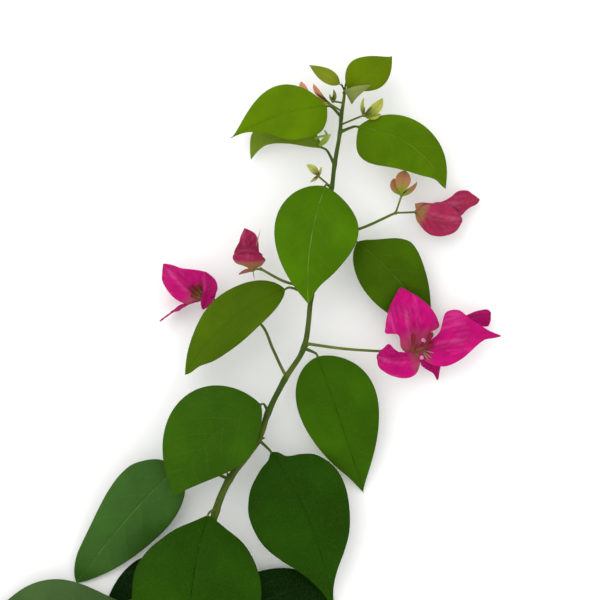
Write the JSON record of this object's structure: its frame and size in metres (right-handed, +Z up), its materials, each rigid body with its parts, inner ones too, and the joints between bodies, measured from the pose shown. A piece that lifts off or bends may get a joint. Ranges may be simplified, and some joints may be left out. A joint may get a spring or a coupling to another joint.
{
  "type": "cut bougainvillea branch",
  "caption": "Leafy flowering shoot of a bougainvillea, cut from the bush and lying flat, with heart-shaped green leaves and papery magenta bracts.",
  "frame": {"origin": "middle of the footprint, on the level surface that the branch lies on", "axes": "+Y from the cut end towards the growing tip, +X to its right seen from above, +Z up"},
  "size_m": [0.2944, 0.3614, 0.0379],
  "materials": {
    "stem": "satin",
    "stalk": "satin",
    "leaf_old": "satin",
    "leaf_grown": "satin",
    "leaf_young": "satin",
    "bract_bright": "matte",
    "bract_dusty": "matte",
    "bud": "matte"
  },
  "bodies": {
    "root": {"main_stem": "stem", "leaf_foot_left": "leaf_old", "leaf_foot_right": "leaf_old", "leaf_foot_under": "leaf_old", "leaf_low_front": "leaf_old", "leaf_low_left": "leaf_old", "leaf_low_right": "leaf_old", "leaf_waist_left": "leaf_old", "leaf_waist_right": "leaf_grown", "leaf_middle_left": "leaf_grown", "leaf_middle_right": "leaf_grown", "leaf_middle_front": "leaf_grown", "leaf_high_under": "leaf_young", "leaf_high_right": "leaf_young", "leaf_high_left": "leaf_young", "leaf_top_left": "leaf_young", "leaf_top_right": "leaf_young", "leaf_top_under": "leaf_young", "stalk_right": "stalk", "stalk_left": "stalk", "stalk_middle_left": "stalk", "stalk_middle_right": "stalk", "cluster_right": "bract_bright", "cluster_left": "bract_bright", "cluster_middle_left": "bract_dusty", "cluster_middle_right": "bract_dusty", "bud_middle_right": "bud", "bud_middle_left": "bud", "bud_high_right": "bud", "bud_high_left": "bud", "bud_top_left": "bud"}
  },
  "joints": []
}
